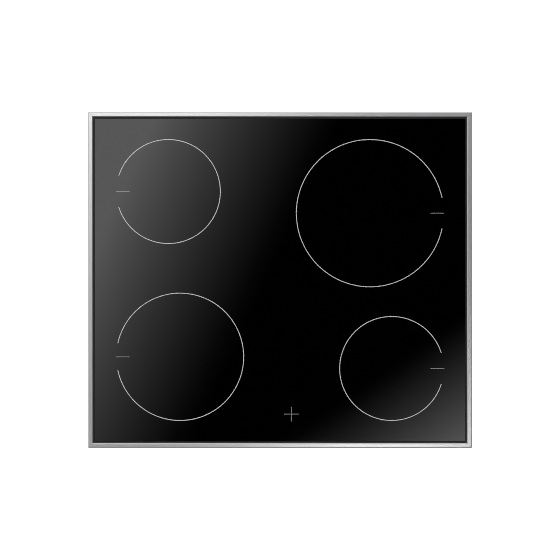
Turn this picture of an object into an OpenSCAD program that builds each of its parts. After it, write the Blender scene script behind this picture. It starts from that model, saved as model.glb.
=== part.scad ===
// Built-in electric induction cooktop: four zones under black glass-ceramic, framed in
// stainless steel and hung in a worktop cut-out. It has no controls of its own: an oven
// below it switches the zones, and four lamps under the glass show which are hot.
// Origin: centre of the footprint, level with the feet. +X right, +Y rear, +Z up. Millimetres.

/* [Frame and glass] */
// Width over the steel trim
trim_w = 576; // [572:1:580]
// Depth over the steel trim, front to rear
trim_d = 504; // [500:1:508]
// Height of the worktop's surface above the feet
worktop_z = 50; // [50:1:54]
// Visible width of the trim
trim_rim = 7.5; // [7:0.5:9]
// Height of the trim above the worktop
trim_h = 7; // [7:0.5:8]
// Width of the silicone joint between glass and trim
joint_w = 2.25; // [1.5:0.25:3]
// Thickness of the glass-ceramic
glass_t = 4; // [3:0.5:4.5]

/* [Zones] */
// Diameter of the small zones, rear left and front right
small_zone_d = 145; // [140:5:150]
// Diameter of the medium zone, front left
medium_zone_d = 180; // [170:5:180]
// Diameter of the large zone, rear right
large_zone_d = 210; // [200:5:210]
// Distance from a zone's edge out to the middle of its printed ring
ring_offset = 5.5; // [4:0.5:6]
// Width of a printed ring
ring_line = 0.9; // [0.7:0.1:1.4]
// Width of a printed dash or of the lamp cross
mark_line = 0.5; // [0.5:0.1:1]
// Length of the dash in each ring's gap
dash_length = 20.5; // [16:0.5:22]
// Length of each line of the lamp cross
cross_size = 21.5; // [18:0.5:24]

/* [Casing] */
// Gap from the trim's outer edge to the casing, left and right
casing_inset_x = 22; // [22:1:23]
// Gap from the trim's outer edge to the casing, front and rear
casing_inset_y = 22; // [22:1:23]
// Thickness of sheet steel
sheet = 1; // [1:0.1:1.2]
// Diameter of the embossed feet
foot_d = 28; // [24:1:32]

/* [Coils] */
// Distance between turns of the windings
winding_pitch = 4; // [3.8:0.1:4.4]
// How far a coil can be pressed down on its springs
coil_travel = 3; // [2:0.5:3]

/* [Fans] */
// Side of a fan's square frame
fan_size = 80; // [76:1:82]
// Number of blades on a rotor
blade_count = 7; // [5:1:9]

/* [Clamps] */
// Distance from the middle to a clamp, front to rear
clamp_y = 150; // [120:5:160]
// Length of a clamp's arm, from its screw to its tip
clamp_arm_l = 26; // [22:1:28]

/* [Hidden] */

$fn = 48;

// Cuts run this far past a face
over = 1;

// Quadrants, as [x side, y side]
REAR_LEFT = [-1, 1];
REAR_RIGHT = [1, 1];
FRONT_LEFT = [-1, -1];
FRONT_RIGHT = [1, -1];
QUADRANTS = [REAR_LEFT, REAR_RIGHT, FRONT_LEFT, FRONT_RIGHT];

// Levels, from the glass down
trim_top_z = worktop_z + trim_h;
ledge_top_z = worktop_z + 2;
bed_t = 0.3;
glass_z = ledge_top_z + bed_t;
glass_top_z = glass_z + glass_t;
print_depth = 0.1;
mat_t = 0.6;
winding_h = 3.2;
winding_w = 3.2;
carrier_t = 4;
carrier_z = worktop_z - 6;
winding_z = carrier_z + carrier_t;
plate_t = 1;
plate_z = worktop_z - 14;
plate_top_z = plate_z + plate_t;
floor_z = 1.6;
floor_top_z = floor_z + sheet;
board_z = 8;
board_t = 1.6;
board_top_z = board_z + board_t;

// Plan sizes
glass_w = trim_w - 2 * (trim_rim + joint_w);
glass_d = trim_d - 2 * (trim_rim + joint_w);
glass_corner_r = 2;
glass_chamfer = 0.5;
casing_w = trim_w - 2 * casing_inset_x;
casing_d = trim_d - 2 * casing_inset_y;
casing_corner_r = 4;

// Trim section: a folded sheet with a rim, a ledge for the glass and a leg in the casing
trim_slope_w = 1.5;
outer_drop = 0.9;
inner_drop = 1.2;
trim_gap = 0.4;
trim_leg_l = 12;
trim_leg_end = 36;
gasket_gap = 0.2;

// Printed marks: rings keep this far in from the trim's outer edges
mark_inset_x = 42.5;
mark_inset_y = 41.25;
wide_gap = 46.6;
narrow_gap = 40.6;
ring_steps = 144;
dash_overshoot = 0.8;
cross_pos = [17, mark_inset_y - trim_d / 2 + 9.6];

// Coils
coil_inner_r = 22;
coil_hole_r = 10;
ferrite_w = 12;
ferrite_t = 2.8;
spring_r = 4.2;
spring_wire_r = 0.5;
spring_gap = 0.05;
spring_turns = 4;
spring_count = 3;
spring_inset = 14;
carrier_rim = 1.5;

// Fans
fan_pos = [165, 165];
fan_h = 25;
fan_screw_spacing = fan_size - 8.5;
fan_screw_r = 1.9;
fan_flange_t = 4;
duct_r = fan_size / 2 - 1.5;
hub_r = 16.5;
shaft_r = 1.5;
bearing_r = 1.55;
blade_tilt = 38;
blade_chord = 24;
blade_t = 1.4;
tip_gap = 0.8;

// Small screws in the posts and the boards
screw_r = 1.5;

// Temperature sensors
sensor_r = 3;

// Boards, as [width, depth] and the middle of the one on the right
power_board = [160, 300];
power_board_pos = [163, -45];
filter_board_size = [110, 150];
filter_board_pos = [0, 60];
board_screw_inset = 6;
indicator_board_size = [60, 30];
lamp_spacing = 12;
spacer_r = 3;
spacer_h = 4;

// Heat sinks
sink_size = [56, 150];
sink_pos = [176, 15];
sink_z = board_top_z + 5;
sink_base = 4;
sink_top_z = plate_z - 3;
fin_t = 1.6;
fin_pitch = 5;

// Coil plate posts, in one quadrant, and those on the middle line
post_r = 4;
post_places = [[252, 212], [72, 213]];
middle_post_x = 252;

// Terminal box in the rear, open below, with a lid on two pins
terminal_w = 100;
terminal_wall = 2;
terminal_rear_y = casing_d / 2 - sheet;
terminal_front_y = terminal_rear_y - 61;
terminal_top_z = 34;
pole_count = 6;
pole_pitch = 11;
block_y = terminal_front_y + 16;
block_z = 18;
block_well_z = block_z + 4;
terminal_screw_r = 1.4;
terminal_screw_l = 6;
hinge_y = terminal_front_y - 3.5;
hinge_z = 3;
hinge_pin_r = 1;
hinge_bore_r = 1.05;
knuckle_r = 2.2;
knuckle_l = 7;
knuckle_x = 34;
hinge_arm_x = knuckle_x - knuckle_l / 2 - 1.3;
lid_w = 92;
lid_z = 0.6;
lid_t = 1.8;
lid_rear_y = terminal_rear_y - terminal_wall - 1;

// Cable gland through the rear wall
gland_z = 18;
gland_r = 9;
gland_bore_r = 6.5;
gland_out = 13;
gland_in = 6;

// Socket for the oven's control lead, open below
socket_size = [64, 22];
socket_mouth = [60, 18];
socket_pos = [0, -140];
socket_depth = 12;

// Clamps: a screw in an ear on the casing's side lifts an arm that swings out
clamp_x = casing_w / 2 + 7;
clamp_screw_r = 2.5;
clamp_bore_r = 2.55;
clamp_arm_z = 6;
clamp_arm_t = 2;
clamp_arm_w = 10;
ear_z = 32;
ear_t = 3;
ear_w = 22;

// Side screws, which hold the casing to the trim's legs
side_screw_z = worktop_z - 6;
side_screw_r = 1.6;
side_screw_x = [-180, 0, 180];
side_screw_y = [-75, 75];

// Vents
grille_radii = [14, 20, 26, 32];
grille_slot = 3.4;
grille_spoke = 4;
grille_middle_r = 6;
vent_slot = [3.6, 18];
vent_pitch = 8;
vent_count = 14;
vent_start_x = 84;
vent_z = 20;

// Stiffening beads in the floor
bead_size = [220, 12];
bead_rise = 1.4;
bead_x = [110, 215];
bead_y = -10;

function zone_d(q) = q == REAR_RIGHT ? large_zone_d : q == FRONT_LEFT ? medium_zone_d : small_zone_d;
function ring_r(q) = zone_d(q) / 2 + ring_offset;
function ring_gap(q) = q == FRONT_LEFT ? narrow_gap : wide_gap;
function coil_r(q) = zone_d(q) / 2 - 3;
function zone_x(q) = q[0] * (trim_w / 2 - mark_inset_x - ring_r(q));
function zone_y(q) = q[1] * (trim_d / 2 - mark_inset_y - ring_r(q));
function ferrite_count(q) = q == REAR_RIGHT ? 8 : 6;
function ferrite_l(q) = coil_r(q) - coil_inner_r - 2;
function spring_angle(q, i) = 360 / ferrite_count(q) * (floor(i * ferrite_count(q) / spring_count) + 0.5);

module rounded_rect(w, d, r) {
    square([w - 2 * r, d], center = true);
    square([w, d - 2 * r], center = true);
    for (x = [-1, 1], y = [-1, 1])
        translate([x * (w / 2 - r), y * (d / 2 - r)])
            circle(r);
}

module stadium(l, w) {
    square([l - w, w], center = true);
    for (x = [-1, 1])
        translate([x * (l - w) / 2, 0])
            circle(w / 2);
}

module plate(w, d, r, z, t) {
    translate([0, 0, z])
        linear_extrude(t)
            rounded_rect(w, d, r);
}

module at_zone(q) {
    translate([zone_x(q), zone_y(q), 0])
        children();
}

module at_corners(spacing_x, spacing_y) {
    for (x = [-0.5, 0.5], y = [-0.5, 0.5])
        translate([x * spacing_x, y * spacing_y, 0])
            children();
}

// A pan-head screw: head above z = 0, shank below it, with a cross recess
module pan_screw(shank_r, length) {
    head_r = 2 * shank_r + 0.3;
    head_h = shank_r * 1.2;
    difference() {
        union() {
            cylinder(h = head_h * 0.6, r = head_r);
            translate([0, 0, head_h * 0.6])
                cylinder(h = head_h * 0.4, r1 = head_r, r2 = head_r * 0.75);
        }
        for (a = [0, 90])
            rotate([0, 0, a])
                translate([-head_r * 0.55, -0.4, head_h * 0.35])
                    cube([head_r * 1.1, 0.8, head_h]);
    }
    translate([0, 0, -length])
        cylinder(h = length, r = shank_r);
}

// Glass and print

// Points along an arc about the origin
function arc_points(r, from, to) =
    [for (i = [0 : ring_steps]) let (a = from + (to - from) * i / ring_steps) [r * cos(a), r * sin(a)]];

module ring_print(q) {
    half_gap = asin(ring_gap(q) / 2 / ring_r(q));
    start = (q[0] < 0 ? 180 : 0) + half_gap;
    end = start + 360 - 2 * half_gap;
    polygon(concat(
        arc_points(ring_r(q) + ring_line / 2, start, end),
        arc_points(ring_r(q) - ring_line / 2, end, start)
    ));
}

module dash_print(q) {
    translate([q[0] * (ring_r(q) + dash_overshoot - dash_length / 2), 0])
        square([dash_length, mark_line], center = true);
}

module cross_print() {
    square([cross_size, mark_line], center = true);
    square([mark_line, cross_size], center = true);
}

module all_rings() {
    for (q = QUADRANTS)
        at_zone(q)
            ring_print(q);
}

module all_marks() {
    for (q = QUADRANTS)
        at_zone(q)
            dash_print(q);
    translate(cross_pos)
        cross_print();
}

module chamfered_section(w) {
    x = w / 2;
    c = glass_chamfer;
    polygon([[-x, 0], [x, 0], [x, glass_t - c], [x - c, glass_t], [-x + c, glass_t], [-x, glass_t - c]]);
}

module glass_top() {
    color("#0c0c0e")
        difference() {
            translate([0, 0, glass_z])
                intersection() {
                    linear_extrude(glass_t)
                        rounded_rect(glass_w, glass_d, glass_corner_r);
                    rotate([90, 0, 0])
                        linear_extrude(glass_d + 2, center = true)
                            chamfered_section(glass_w);
                    rotate([90, 0, 90])
                        linear_extrude(glass_w + 2, center = true)
                            chamfered_section(glass_d);
                }
            translate([0, 0, glass_top_z - print_depth])
                linear_extrude(over) {
                    all_rings();
                    all_marks();
                }
        }
}

module zone_rings() {
    color("#e8e8ea")
        translate([0, 0, glass_top_z - print_depth])
            linear_extrude(print_depth)
                all_rings();
}

module zone_marks() {
    color("#c4c4c8")
        translate([0, 0, glass_top_z - print_depth])
            linear_extrude(print_depth)
                all_marks();
}

// A bead round the glass's edge, on a thin bed that the glass lies on
module glass_seal() {
    below_glass = 0.3;
    bead_top_z = glass_top_z - below_glass;
    color("#35353a")
        difference() {
            translate([0, 0, ledge_top_z])
                linear_extrude(bead_top_z - ledge_top_z)
                    square([trim_w - 2 * trim_rim, trim_d - 2 * trim_rim], center = true);
            plate(glass_w, glass_d, glass_corner_r, glass_z, glass_t);
            translate([0, 0, ledge_top_z - over])
                linear_extrude(glass_t)
                    square([casing_w, casing_d], center = true);
        }
}

// Trim

module trim_section() {
    low = worktop_z + trim_gap;
    top = trim_top_z;
    s = trim_slope_w;
    t = sheet;
    leg_x = -casing_inset_x - t;
    outer_a = atan(outer_drop / s);
    inner_a = atan(inner_drop / s);
    polygon([
        [0, low], [0, top - outer_drop], [-s, top], [s - trim_rim, top], [-trim_rim, top - inner_drop],
        [-trim_rim, ledge_top_z], [leg_x - t, ledge_top_z], [leg_x - t, worktop_z - trim_leg_l],
        [leg_x, worktop_z - trim_leg_l], [leg_x, ledge_top_z - t], [t - trim_rim, ledge_top_z - t],
        [t - trim_rim, top - inner_drop - t * tan(45 - inner_a / 2)],
        [s - trim_rim + t * tan(inner_a / 2), top - t], [-s - t * tan(outer_a / 2), top - t],
        [-t, top - outer_drop - t * tan(45 - outer_a / 2)], [-t, low]
    ]);
}

// One side of the trim along Y, facing +X, mitred at both ends
module trim_side(half_across, length) {
    leg_span = casing_inset_x + 4;
    color("#c6c8cb")
        difference() {
            intersection() {
                translate([half_across, 0, 0])
                    rotate([90, 0, 0])
                        linear_extrude(length, center = true)
                            trim_section();
                linear_extrude(trim_top_z + over)
                    polygon([
                        [half_across, -length / 2], [half_across, length / 2],
                        [half_across - leg_span, length / 2 - leg_span],
                        [half_across - leg_span, leg_span - length / 2]
                    ]);
            }
            for (s = [-1, 1])
                translate([half_across - casing_inset_x - sheet, s * length / 2, (ledge_top_z - sheet) / 2])
                    cube([4 * sheet, 2 * trim_leg_end, ledge_top_z - sheet], center = true);
            for (y = length > trim_d ? side_screw_x : side_screw_y)
                translate([half_across - leg_span, y, side_screw_z])
                    rotate([0, 90, 0])
                        cylinder(h = 8, r = side_screw_r + 0.05);
        }
}

module trim_front() {
    rotate([0, 0, 270])
        trim_side(trim_d / 2, trim_w);
}

module trim_rear() {
    rotate([0, 0, 90])
        trim_side(trim_d / 2, trim_w);
}

module trim_left() {
    rotate([0, 0, 180])
        trim_side(trim_w / 2, trim_d);
}

module trim_right() {
    trim_side(trim_w / 2, trim_d);
}

// Four foam strips under the trim, which seal it to the worktop
module worktop_gasket() {
    outer = sheet + gasket_gap;
    strip = trim_rim - 2 * sheet - 2 * gasket_gap;
    strip_h = trim_h - 3;
    color("#2c2c2e")
        for (s = [-1, 1]) {
            translate([s * (trim_w / 2 - outer - strip / 2), 0, worktop_z + strip_h / 2])
                cube([strip, trim_d - 2 * outer, strip_h], center = true);
            translate([0, s * (trim_d / 2 - outer - strip / 2), worktop_z + strip_h / 2])
                cube([trim_w - 2 * (outer + strip + gasket_gap), strip, strip_h], center = true);
        }
}

// Casing

// Stiffening beads pressed up into the floor
module floor_bead() {
    translate([0, 0, floor_z])
        linear_extrude(sheet + bead_rise)
            stadium(bead_size[0], bead_size[1]);
}

module floor_bead_hollow() {
    translate([0, 0, floor_z - over])
        linear_extrude(bead_rise + over)
            stadium(bead_size[0] - 2 * sheet, bead_size[1] - 2 * sheet);
}

module at_beads() {
    for (s = [-1, 1], x = bead_x)
        translate([s * x, bead_y, 0])
            rotate([0, 0, 90])
                children();
}

module at_feet() {
    foot_inset = 35;
    at_corners(casing_w - 2 * foot_inset, casing_d - 2 * foot_inset)
        children();
}

module grille_2d() {
    circle(grille_middle_r);
    difference() {
        for (r = grille_radii)
            difference() {
                circle(r + grille_slot / 2);
                circle(r - grille_slot / 2);
            }
        for (a = [45, 135])
            rotate(a)
                square([3 * grille_radii[3], grille_spoke], center = true);
    }
}

module wall_vents() {
    for (s = [-1, 1], i = [0 : vent_count - 1])
        translate([s * (vent_start_x + i * vent_pitch), 0, vent_z])
            cube([vent_slot[0], casing_d + 2, vent_slot[1]], center = true);
}

module pan_shell() {
    difference() {
        plate(casing_w, casing_d, casing_corner_r, floor_z, ledge_top_z - sheet - floor_z);
        plate(casing_w - 2 * sheet, casing_d - 2 * sheet, casing_corner_r - sheet, floor_top_z, ledge_top_z);
    }
}

module base_pan() {
    foot_r = foot_d / 2;
    lid_opening = [lid_w + 2, lid_rear_y + 1 - hinge_y + 3.5];
    color("#b9bcc0")
        difference() {
            union() {
                pan_shell();
                at_feet()
                    cylinder(h = floor_top_z, r = foot_r);
                at_beads()
                    floor_bead();
            }
            at_feet()
                translate([0, 0, sheet])
                    cylinder(h = floor_top_z, r = foot_r - sheet);
            at_beads()
                floor_bead_hollow();
            for (s = [-1, 1])
                translate([s * fan_pos[0], fan_pos[1], floor_z - over])
                    linear_extrude(3 * over) {
                        grille_2d();
                        for (x = [-0.5, 0.5], y = [-0.5, 0.5])
                            translate([x, y] * fan_screw_spacing)
                                circle(fan_screw_r + 0.1);
                    }
            wall_vents();
            translate([0, lid_rear_y + 1 - lid_opening[1] / 2, floor_z])
                cube([lid_opening[0], lid_opening[1], 4 * sheet], center = true);
            translate([socket_pos[0], socket_pos[1], floor_z])
                cube([socket_mouth[0], socket_mouth[1], 4 * sheet], center = true);
            translate([0, casing_d / 2 - sheet - over, gland_z])
                rotate([-90, 0, 0])
                    cylinder(h = 3 * over, r = gland_r + 0.1);
            for (x = side_screw_x)
                translate([x, 0, side_screw_z])
                    rotate([90, 0, 0])
                        cylinder(h = casing_d + 2, r = side_screw_r + 0.2, center = true);
            for (y = side_screw_y)
                translate([0, y, side_screw_z])
                    rotate([0, 90, 0])
                        cylinder(h = casing_w + 2, r = side_screw_r + 0.2, center = true);
        }
}

module side_screws() {
    reach = 5;
    color("#d4d6d8") {
        for (s = [0, 180], x = side_screw_x)
            rotate([0, 0, s])
                translate([x, -casing_d / 2, side_screw_z])
                    rotate([90, 0, 0])
                        pan_screw(side_screw_r, reach);
        for (s = [0, 180], y = side_screw_y)
            rotate([0, 0, s])
                translate([casing_w / 2, y, side_screw_z])
                    rotate([0, 90, 0])
                        pan_screw(side_screw_r, reach);
    }
}

module at_posts() {
    for (q = QUADRANTS, p = post_places)
        translate([q[0] * p[0], q[1] * p[1], 0])
            children();
    for (s = [-1, 1])
        translate([s * middle_post_x, 0, 0])
            children();
}

module coil_plate() {
    edge_gap = 1;
    lead_slot = [60, 6];
    lead_slots_x = [-42, -30, -18, 60, 72, 84];
    color("#c9ccd0")
        difference() {
            plate(casing_w - 2 * (sheet + edge_gap), casing_d - 2 * (sheet + edge_gap),
                  casing_corner_r, plate_z, plate_t);
            for (q = QUADRANTS)
                at_zone(q)
                    translate([0, 0, plate_z - over])
                        cylinder(h = 3 * over, r = sensor_r + 0.1);
            at_posts()
                translate([0, 0, plate_z - over])
                    cylinder(h = 3 * over, r = screw_r + 0.2);
            for (x = lead_slots_x)
                translate([x, -lead_slot[0] / 2, plate_z - over])
                    linear_extrude(3 * over)
                        rotate(90)
                            stadium(lead_slot[0], lead_slot[1]);
        }
}

module plate_posts() {
    thread_l = 10;
    color("#a9adb2")
        at_posts()
            difference() {
                translate([0, 0, floor_top_z])
                    cylinder(h = plate_z - floor_top_z, r = post_r);
                translate([0, 0, plate_z - thread_l])
                    cylinder(h = thread_l + over, r = screw_r + 0.05);
            }
}

// Boards and what stands on them

module at_power_board(side) {
    translate([side * power_board_pos[0], power_board_pos[1], 0])
        children();
}

module at_board_screws(size) {
    at_corners(size[0] - 2 * board_screw_inset, size[1] - 2 * board_screw_inset)
        children();
}

// A board on four moulded spacers
module board(size) {
    difference() {
        plate(size[0], size[1], 2, board_z, board_t);
        at_board_screws(size)
            translate([0, 0, board_z - over])
                cylinder(h = 4 * over, r = screw_r + 0.1);
    }
    at_board_screws(size)
        difference() {
            translate([0, 0, floor_top_z])
                cylinder(h = board_z - floor_top_z, r = spacer_r + 1);
            translate([0, 0, floor_top_z])
                cylinder(h = board_z, r = screw_r + 0.05);
        }
}

module power_board(side) {
    color("#2f6b43")
        at_power_board(side)
            board(power_board);
}

module filter_board() {
    color("#2f6b43")
        translate([filter_board_pos[0], filter_board_pos[1], 0])
            board(filter_board_size);
}

// A toroidal choke: core, winding and base cup
module filter_choke() {
    ring_mid_r = 16;
    section_r = 8;
    cup_r = 26;
    cup_h = 5;
    color("#8c4b22")
        translate([filter_board_pos[0], filter_board_pos[1] - 35, board_top_z]) {
            translate([0, 0, 1.5 * section_r])
                rotate_extrude()
                    translate([ring_mid_r, 0])
                        circle(section_r);
            difference() {
                cylinder(h = cup_h, r = cup_r);
                translate([0, 0, 1.5 * section_r])
                    rotate_extrude()
                        translate([ring_mid_r, 0])
                            circle(section_r);
            }
        }
}

// Comb section of an extruded heat sink, fins up
module sink_section() {
    w = sink_size[0];
    fins = floor((w - fin_t) / fin_pitch);
    translate([-w / 2, 0])
        square([w, sink_base]);
    for (i = [0 : fins])
        translate([(i - fins / 2) * fin_pitch - fin_t / 2, 0])
            square([fin_t, sink_top_z - sink_z]);
}

module heat_sinks() {
    color("#9ea3a8")
        for (s = [-1, 1])
            translate([s * sink_pos[0], sink_pos[1], sink_z])
                rotate([90, 0, 0])
                    linear_extrude(sink_size[1], center = true)
                        sink_section();
}

// Six flat packages under each heat sink, with their legs in the board
module transistors() {
    body = [16, 20];
    column_x = 14;
    pitch_y = 48;
    lift = 0.2;
    leg = [1, 5, 1.4];
    color("#232325")
        for (s = [-1, 1], x = [-column_x, column_x], i = [-1 : 1])
            translate([s * sink_pos[0] + x, sink_pos[1] + i * pitch_y, board_top_z]) {
                translate([-body[0] / 2, -body[1] / 2, lift])
                    cube([body[0], body[1], sink_z - board_top_z - lift]);
                for (leg_x = [-5, 0, 5])
                    translate([leg_x - leg[0] / 2, body[1] / 2, 0])
                        cube(leg);
            }
}

// Film capacitors in a row on each power board, and two on the filter board
module capacitors() {
    can = [30, 16, 19];
    power_x = 112;
    power_y = [50, 8, -34, -76];
    filter_x = 26;
    filter_y = filter_board_pos[1] + 28;
    color("#3b4a8c")
        for (s = [-1, 1]) {
            for (y = power_y)
                translate([s * power_x - can[0] / 2, y, board_top_z])
                    cube(can);
            translate([s * filter_x - can[0] / 2, filter_y, board_top_z])
                cube(can);
        }
}

module indicator_board() {
    leg_inset = 5;
    lamp_r = 2.5;
    lamp_h = 3;
    color("#2f6b43")
        translate([cross_pos[0], cross_pos[1], plate_top_z]) {
            plate(indicator_board_size[0], indicator_board_size[1], 2, spacer_h, board_t);
            at_corners(indicator_board_size[0] - 2 * leg_inset, indicator_board_size[1] - 2 * leg_inset)
                cylinder(h = spacer_h, r = spacer_r);
            at_corners(lamp_spacing, lamp_spacing)
                translate([0, 0, spacer_h + board_t])
                    cylinder(h = lamp_h, r = lamp_r);
        }
}

// Four wells, one under each quarter of the printed cross
module light_box() {
    low_z = plate_top_z + spacer_h + board_t;
    outer = 27;
    well = 10;
    glass_gap = 0.2;
    color("#e6e6e2")
        translate([cross_pos[0], cross_pos[1], 0])
            difference() {
                plate(outer, outer, 2, low_z, glass_z - glass_gap - low_z);
                at_corners(lamp_spacing, lamp_spacing)
                    translate([0, 0, (low_z + glass_z) / 2])
                        cube([well, well, glass_z], center = true);
            }
}

module inner_screws() {
    plate_screw_l = 8;
    board_screw_l = 6;
    fan_screw_l = 5.2;
    color("#caa653") {
        at_posts()
            translate([0, 0, plate_top_z])
                pan_screw(screw_r, plate_screw_l);
        for (s = [-1, 1])
            at_power_board(s)
                at_board_screws(power_board)
                    translate([0, 0, board_top_z])
                        pan_screw(screw_r, board_screw_l);
        translate([filter_board_pos[0], filter_board_pos[1], board_top_z])
            at_board_screws(filter_board_size)
                pan_screw(screw_r, board_screw_l);
        for (s = [-1, 1])
            translate([s * fan_pos[0], fan_pos[1], floor_top_z + fan_flange_t])
                at_corners(fan_screw_spacing, fan_screw_spacing)
                    pan_screw(fan_screw_r, fan_screw_l);
    }
}

// Mains connection

module terminal_box() {
    mid_y = (terminal_front_y + terminal_rear_y) / 2;
    depth = terminal_rear_y - terminal_front_y;
    arm_reach = 1.8;
    arm_h = 6;
    color("#2b2b2d") {
        difference() {
            translate([-terminal_w / 2, terminal_front_y, floor_top_z])
                cube([terminal_w, depth, terminal_top_z - floor_top_z]);
            translate([0, mid_y, 0])
                cube([terminal_w - 2 * terminal_wall, depth - 2 * terminal_wall,
                      2 * (terminal_top_z - terminal_wall)], center = true);
            translate([0, terminal_rear_y - terminal_wall - over, gland_z])
                rotate([-90, 0, 0])
                    cylinder(h = terminal_wall + 2 * over, r = gland_r + 0.1);
        }
        for (s = [-1, 1])
            translate([s * hinge_arm_x, 0, 0]) {
                translate([-1, hinge_y - arm_reach, hinge_z - arm_h / 2 + 1.4])
                    cube([2, terminal_front_y - hinge_y + arm_reach, arm_h]);
                translate([s * 0.5, hinge_y, hinge_z])
                    rotate([0, s * 90, 0])
                        cylinder(h = knuckle_l + 1, r = hinge_pin_r);
            }
    }
}

module terminal_lid() {
    front_gap = 1.4;
    strap_z = lid_z + 0.4;
    strap_t = 1.6;
    notch = [2.6, 8, 4];
    finger_grip = [16, 5, 1.6];
    rib = [60, 1.6, 0.8];
    rib_pitch = 6;
    color("#2b2b2d")
        difference() {
            union() {
                translate([-lid_w / 2, hinge_y + front_gap, lid_z])
                    cube([lid_w, lid_rear_y - hinge_y - front_gap, lid_t]);
                for (s = [-1, 1])
                    translate([s * knuckle_x, hinge_y, hinge_z])
                        rotate([0, 90, 0])
                            cylinder(h = knuckle_l, r = knuckle_r, center = true);
                for (s = [-1, 1])
                    translate([s * knuckle_x - knuckle_l / 2, hinge_y, strap_z])
                        cube([knuckle_l, 3.2, strap_t]);
            }
            for (s = [-1, 1]) {
                translate([s * knuckle_x, hinge_y, hinge_z])
                    rotate([0, 90, 0])
                        cylinder(h = knuckle_l + 2, r = hinge_bore_r, center = true);
                translate([s * hinge_arm_x, hinge_y + front_gap, hinge_z - 1])
                    cube(notch, center = true);
            }
            translate([0, lid_rear_y, lid_z])
                cube(finger_grip, center = true);
            for (i = [-3 : 3])
                translate([0, (hinge_y + lid_rear_y) / 2 + i * rib_pitch, lid_z])
                    cube(rib, center = true);
        }
}

// Places of the terminal screws' heads, in the wells of the terminal block
module at_terminals(y_places) {
    for (i = [0 : pole_count - 1], y = y_places)
        translate([(i - (pole_count - 1) / 2) * pole_pitch, block_y + y, block_well_z])
            children();
}

module terminal_block() {
    size = [pole_count * pole_pitch, 20, terminal_top_z - terminal_wall - block_z];
    color("#d9d6cc")
        difference() {
            translate([-size[0] / 2, block_y - size[1] / 2, block_z])
                cube(size);
            at_terminals([0])
                translate([-4, -8.5, block_z - block_well_z - over])
                    cube([8, 17, block_well_z - block_z + over]);
            at_terminals([-4, 4])
                cylinder(h = terminal_screw_l + 0.5, r = terminal_screw_r + 0.05);
        }
}

module terminal_screws() {
    color("#c9a24a")
        at_terminals([-4, 4])
            rotate([180, 0, 0])
                pan_screw(terminal_screw_r, terminal_screw_l);
}

// A ring about the gland's axis, from y to y + h
module gland_ring(y, h, r, sides = $fn) {
    translate([0, y, gland_z])
        rotate([-90, 0, 0])
            cylinder(h = h, r = r, $fn = sides);
}

module cable_gland() {
    inner_y = terminal_rear_y - terminal_wall;
    outer_y = casing_d / 2;
    nut_r = 12.5;
    nut_t = 4;
    cap_r = 11.7;
    cap_start = 5.5;
    cap_end = 12;
    length = gland_in + outer_y - inner_y + gland_out;
    color("#1f1f21")
        difference() {
            union() {
                gland_ring(inner_y - gland_in, length, gland_r);
                gland_ring(inner_y - nut_t, nut_t, nut_r, sides = 6);
                gland_ring(outer_y, nut_t, nut_r, sides = 6);
                gland_ring(outer_y + cap_start, cap_end - cap_start, cap_r, sides = 6);
            }
            gland_ring(inner_y - gland_in - over, length + 2 * over, gland_bore_r);
        }
}

// Socket for the oven's plug, with its pins inside
module control_socket() {
    flange = 3;
    flange_t = 2;
    pin_r = 0.9;
    pin_l = 4;
    pin_pitch = 8;
    color("#e2dfd6")
        translate([socket_pos[0], socket_pos[1], floor_top_z]) {
            difference() {
                union() {
                    plate(socket_size[0] + 2 * flange, socket_size[1] + 2 * flange, 2, 0, flange_t);
                    plate(socket_size[0], socket_size[1], 2, flange_t, socket_depth);
                }
                cube([socket_mouth[0], socket_mouth[1], 2 * socket_depth], center = true);
            }
            for (i = [-3 : 3], y = [-pin_pitch / 2, pin_pitch / 2])
                translate([i * pin_pitch, y, socket_depth - pin_l])
                    cylinder(h = pin_l + flange_t / 4, r = pin_r);
        }
}

// Clamps

module at_clamp(q) {
    translate([q[0] * clamp_x, q[1] * clamp_y, 0])
        children();
}

// Brackets welded to the casing's sides, each threaded for a clamp screw
module clamp_ears() {
    wall_x = casing_w / 2;
    back_t = 2;
    back_h = 20;
    rib = 8;
    rib_t = 2;
    ear_reach = 13.4;
    color("#9a9da1")
        for (q = QUADRANTS)
            at_clamp(q)
                mirror([q[0] < 0 ? 1 : 0, 0, 0])
                    difference() {
                        translate([wall_x - clamp_x, 0, 0]) {
                            translate([0, -ear_w / 2, ear_z - rib])
                                cube([back_t, ear_w, back_h]);
                            translate([0, rib_t - ear_w / 2, ear_z])
                                cube([ear_reach, ear_w - 2 * rib_t, ear_t]);
                            for (s = [-1, 1])
                                translate([back_t, s * (ear_w - 3 * rib_t) / 2, ear_z])
                                    rotate([90, 0, 0])
                                        linear_extrude(rib_t, center = true)
                                            polygon([[0, 0], [0, -rib], [rib, 0]]);
                        }
                        translate([0, 0, ear_z - over])
                            cylinder(h = ear_t + 2 * over, r = clamp_bore_r);
                    }
}

// Screw with its head below, and two collars that carry the arm
module clamp_screw(q) {
    head_z = 1;
    head_h = 2.6;
    head_r = 4.8;
    end_z = worktop_z - 12;
    collar_r = 3.8;
    collar_t = 0.6;
    arm_play = 0.1;
    recess = [6, 1.1, 2.8];
    color("#c3c6c9")
        at_clamp(q)
            difference() {
                union() {
                    translate([0, 0, head_z]) {
                        cylinder(h = head_h, r = head_r);
                        cylinder(h = end_z - head_z, r = clamp_screw_r);
                    }
                    for (z = [clamp_arm_z - arm_play - collar_t, clamp_arm_z + clamp_arm_t + arm_play])
                        translate([0, 0, z])
                            cylinder(h = collar_t, r = collar_r);
                }
                for (a = [0, 90])
                    rotate([0, 0, a])
                        translate([0, 0, head_z])
                            cube(recess, center = true);
            }
}

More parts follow.
